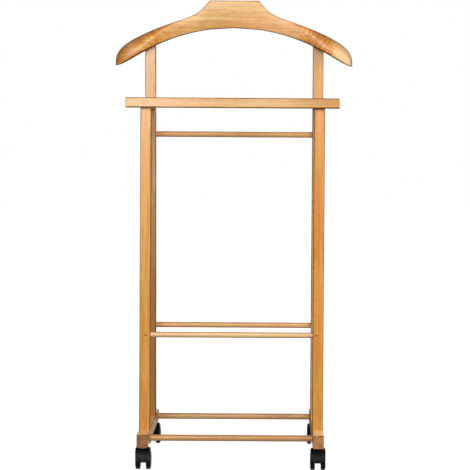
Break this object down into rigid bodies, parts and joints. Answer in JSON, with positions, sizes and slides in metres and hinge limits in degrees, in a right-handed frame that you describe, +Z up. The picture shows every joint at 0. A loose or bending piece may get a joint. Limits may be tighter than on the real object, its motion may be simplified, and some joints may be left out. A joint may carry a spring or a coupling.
{
  "type": "clothes valet stand",
  "caption": "Rolling wooden valet stand: two A-shaped side frames, round rails, a flat trouser bar and a contoured jacket hanger on twin-wheel castors.",
  "frame": {"origin": "on the floor below the middle of the outline's bounding box", "axes": "+Z up, front towards -Y, +X to the right as seen from the front"},
  "size_m": [0.5154, 0.354, 1],
  "materials": {
    "beech": "clear honey varnish, satin, straight grain along each piece",
    "dowel_wood": "bare beech dowel and plug wood",
    "steel": "bright zinc plate",
    "hood_plastic": "black moulded nylon, semi-gloss",
    "wheel_plastic": "black moulded nylon, slightly scuffed treads"
  },
  "bodies": {
    "stand": {"left_foot_beam": "beech", "right_foot_beam": "beech", "left_front_leg": "beech", "right_front_leg": "beech", "left_rear_post": "beech", "right_rear_post": "beech", "left_side_arm": "beech", "right_side_arm": "beech", "hanger": "beech", "trouser_bar": "beech", "top_rail": "beech", "middle_front_rail": "beech", "middle_rear_rail": "beech", "foot_front_rail": "beech", "foot_rear_rail": "beech", "hanger_screws": "steel", "hanger_dowels": "dowel_wood", "bar_screws": "steel", "bar_plugs": "dowel_wood", "foot_dowels": "dowel_wood", "arm_dowels": "dowel_wood", "rail_brads": "steel", "front_left_castor_socket": "steel", "front_right_castor_socket": "steel", "rear_left_castor_socket": "steel", "rear_right_castor_socket": "steel"},
    "front_left_castor": {"front_left_castor_stem": "steel", "front_left_castor_hood": "hood_plastic", "front_left_castor_axle": "steel"},
    "front_left_outer_wheel": {"front_left_castor_outer_wheel": "wheel_plastic"},
    "front_left_inner_wheel": {"front_left_castor_inner_wheel": "wheel_plastic"},
    "front_right_castor": {"front_right_castor_stem": "steel", "front_right_castor_hood": "hood_plastic", "front_right_castor_axle": "steel"},
    "front_right_outer_wheel": {"front_right_castor_outer_wheel": "wheel_plastic"},
    "front_right_inner_wheel": {"front_right_castor_inner_wheel": "wheel_plastic"},
    "rear_left_castor": {"rear_left_castor_stem": "steel", "rear_left_castor_hood": "hood_plastic", "rear_left_castor_axle": "steel"},
    "rear_left_outer_wheel": {"rear_left_castor_outer_wheel": "wheel_plastic"},
    "rear_left_inner_wheel": {"rear_left_castor_inner_wheel": "wheel_plastic"},
    "rear_right_castor": {"rear_right_castor_stem": "steel", "rear_right_castor_hood": "hood_plastic", "rear_right_castor_axle": "steel"},
    "rear_right_outer_wheel": {"rear_right_castor_outer_wheel": "wheel_plastic"},
    "rear_right_inner_wheel": {"rear_right_castor_inner_wheel": "wheel_plastic"}
  },
  "joints": [
    {"name": "front_left_castor_swivel", "type": "hinge", "parent": "stand", "child": "front_left_castor", "pos_m": [-0.1845, -0.157, 0.0515], "axis": [0, 0, 1], "continuous": true},
    {"name": "front_left_outer_wheel_spin", "type": "hinge", "parent": "front_left_castor", "child": "front_left_outer_wheel", "pos_m": [-0.1845, -0.139, 0.02], "axis": [1, 0, 0], "continuous": true},
    {"name": "front_left_inner_wheel_spin", "type": "hinge", "parent": "front_left_castor", "child": "front_left_inner_wheel", "pos_m": [-0.1845, -0.139, 0.02], "axis": [1, 0, 0], "continuous": true},
    {"name": "front_right_castor_swivel", "type": "hinge", "parent": "stand", "child": "front_right_castor", "pos_m": [0.1845, -0.157, 0.0515], "axis": [0, 0, 1], "continuous": true},
    {"name": "front_right_outer_wheel_spin", "type": "hinge", "parent": "front_right_castor", "child": "front_right_outer_wheel", "pos_m": [0.1845, -0.139, 0.02], "axis": [1, 0, 0], "continuous": true},
    {"name": "front_right_inner_wheel_spin", "type": "hinge", "parent": "front_right_castor", "child": "front_right_inner_wheel", "pos_m": [0.1845, -0.139, 0.02], "axis": [1, 0, 0], "continuous": true},
    {"name": "rear_left_castor_swivel", "type": "hinge", "parent": "stand", "child": "rear_left_castor", "pos_m": [-0.1845, 0.139, 0.0515], "axis": [0, 0, 1], "continuous": true},
    {"name": "rear_left_outer_wheel_spin", "type": "hinge", "parent": "rear_left_castor", "child": "rear_left_outer_wheel", "pos_m": [-0.1845, 0.157, 0.02], "axis": [1, 0, 0], "continuous": true},
    {"name": "rear_left_inner_wheel_spin", "type": "hinge", "parent": "rear_left_castor", "child": "rear_left_inner_wheel", "pos_m": [-0.1845, 0.157, 0.02], "axis": [1, 0, 0], "continuous": true},
    {"name": "rear_right_castor_swivel", "type": "hinge", "parent": "stand", "child": "rear_right_castor", "pos_m": [0.1845, 0.139, 0.0515], "axis": [0, 0, 1], "continuous": true},
    {"name": "rear_right_outer_wheel_spin", "type": "hinge", "parent": "rear_right_castor", "child": "rear_right_outer_wheel", "pos_m": [0.1845, 0.157, 0.02], "axis": [1, 0, 0], "continuous": true},
    {"name": "rear_right_inner_wheel_spin", "type": "hinge", "parent": "rear_right_castor", "child": "rear_right_inner_wheel", "pos_m": [0.1845, 0.157, 0.02], "axis": [1, 0, 0], "continuous": true}
  ]
}
